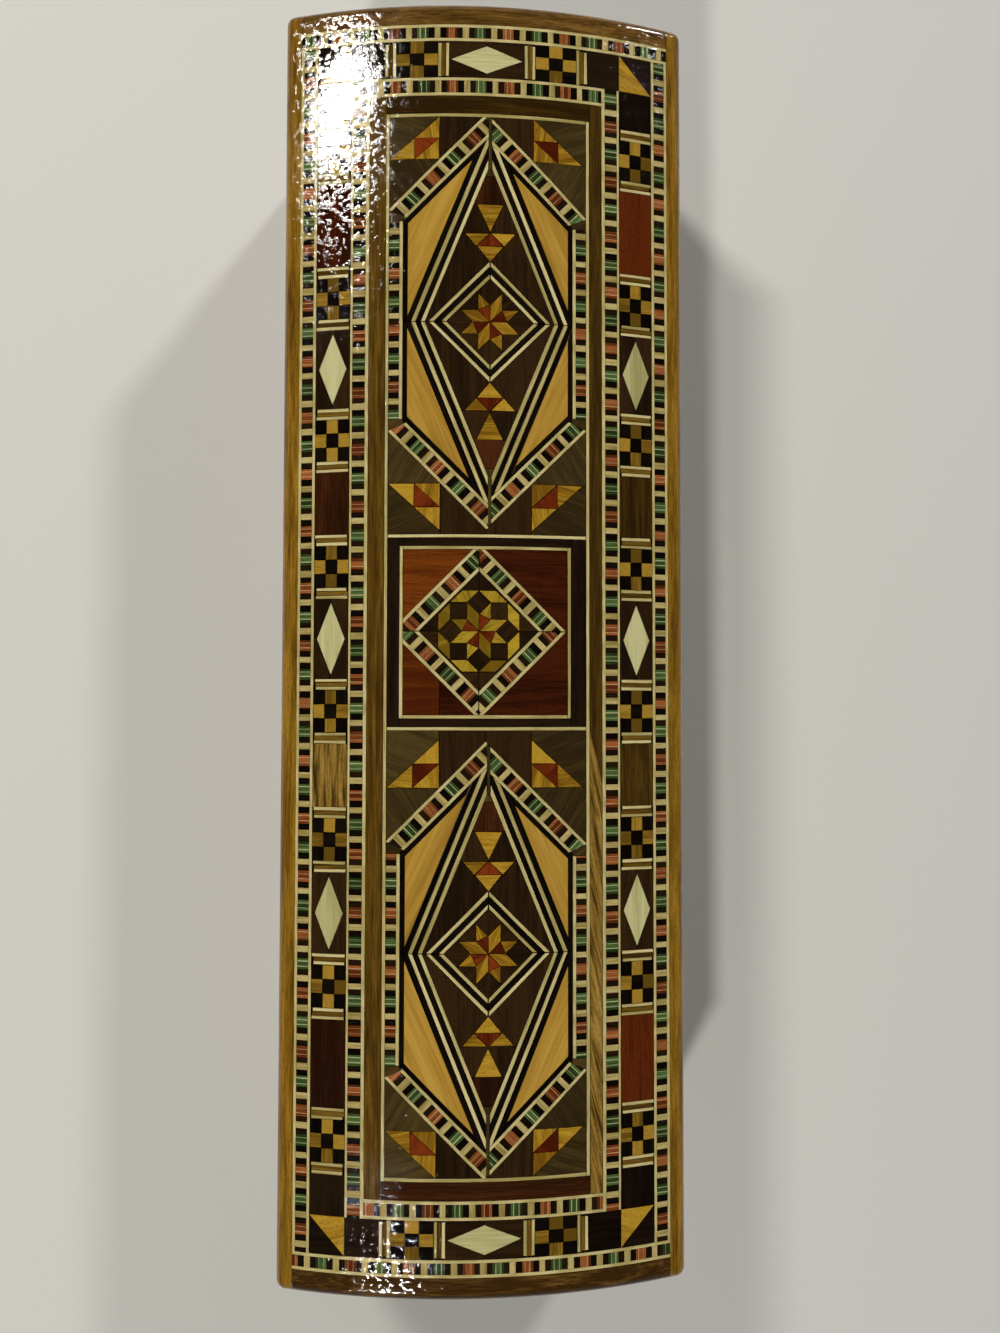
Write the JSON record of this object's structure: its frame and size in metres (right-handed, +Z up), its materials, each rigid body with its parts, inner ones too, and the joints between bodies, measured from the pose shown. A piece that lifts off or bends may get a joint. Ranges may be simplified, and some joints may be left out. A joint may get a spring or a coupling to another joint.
{
  "type": "marquetry jewellery box",
  "caption": "Long narrow wooden jewellery box with a hinged, shallow-arched lid laid with geometric marquetry, and a velvet-lined inside.",
  "frame": {"origin": "middle of the underside, on the surface that the box stands on", "axes": "+X along the length towards the right end, +Y towards the back with the hinges, +Z up"},
  "size_m": [0.22, 0.07, 0.05],
  "materials": {
    "brass": "satin brass",
    "carcass_wood": "plain sanded wood",
    "cream_line": "glossy lacquer over cream stringing",
    "dark_walnut": "glossy lacquer over dark walnut",
    "ebony": "glossy lacquer over black-dyed wood",
    "golden_edging": "glossy lacquer over golden edging wood",
    "golden_tile": "glossy lacquer over lemon wood",
    "inlay_ground": "glossy lacquer over dark inlay",
    "mahogany": "glossy lacquer over mahogany",
    "maple_field": "glossy lacquer over light wood",
    "rod_mosaic": "glossy lacquer over dyed rod mosaic",
    "velvet": "short cotton pile",
    "walnut_ends": "glossy lacquer over walnut",
    "walnut_frame": "glossy lacquer over walnut"
  },
  "bodies": {
    "case": {"back_inlay": "inlay_ground", "case_back_wall": "golden_edging", "case_floor": "carcass_wood", "case_front_wall": "golden_edging", "case_left_end": "walnut_ends", "case_right_end": "walnut_ends", "floor_pad": "velvet", "front_inlay": "inlay_ground", "hinge_left_case_leaf": "brass", "hinge_left_pin": "brass", "hinge_right_case_leaf": "brass", "hinge_right_pin": "brass", "left_end_inlay": "inlay_ground", "right_end_inlay": "inlay_ground", "wall_lining": "velvet"},
    "lid": {"back_checker_band": "inlay_ground", "back_inner_rod_strip": "rod_mosaic", "back_outer_rod_strip": "rod_mosaic", "back_walnut_frame": "walnut_frame", "centre_panel_band": "ebony", "centre_panel_ground": "mahogany", "centre_panel_medallion": "ebony", "centre_panel_rod_diamond": "rod_mosaic", "centre_panel_rosette": "golden_tile", "field_stringing": "cream_line", "front_checker_band": "inlay_ground", "front_inner_rod_strip": "rod_mosaic", "front_outer_rod_strip": "rod_mosaic", "front_walnut_frame": "walnut_frame", "hinge_left_lid_leaf": "brass", "hinge_right_lid_leaf": "brass", "left_checker_band": "inlay_ground", "left_inner_rod_strip": "rod_mosaic", "left_outer_rod_strip": "rod_mosaic", "left_panel_ground": "dark_walnut", "left_panel_light_field": "maple_field", "left_panel_medallion": "ebony", "left_panel_rhombus": "dark_walnut", "left_panel_rhombus_stringing": "cream_line", "left_panel_rod_hexagon": "rod_mosaic", "left_panel_star": "golden_tile", "left_walnut_frame": "walnut_frame", "lid_back_rail": "golden_edging", "lid_front_rail": "golden_edging", "lid_left_gable": "walnut_ends", "lid_lining": "velvet", "lid_panel": "carcass_wood", "lid_right_gable": "walnut_ends", "right_checker_band": "inlay_ground", "right_inner_rod_strip": "rod_mosaic", "right_outer_rod_strip": "rod_mosaic", "right_panel_ground": "dark_walnut", "right_panel_light_field": "maple_field", "right_panel_medallion": "ebony", "right_panel_rhombus": "dark_walnut", "right_panel_rhombus_stringing": "cream_line", "right_panel_rod_hexagon": "rod_mosaic", "right_panel_star": "golden_tile", "right_walnut_frame": "walnut_frame"}
  },
  "joints": [
    {"name": "lid_hinge", "type": "hinge", "parent": "case", "child": "lid", "pos_m": [0, 0.0329, 0.0341], "axis": [-1, 0, 0], "range_deg": [0, 100]}
  ]
}
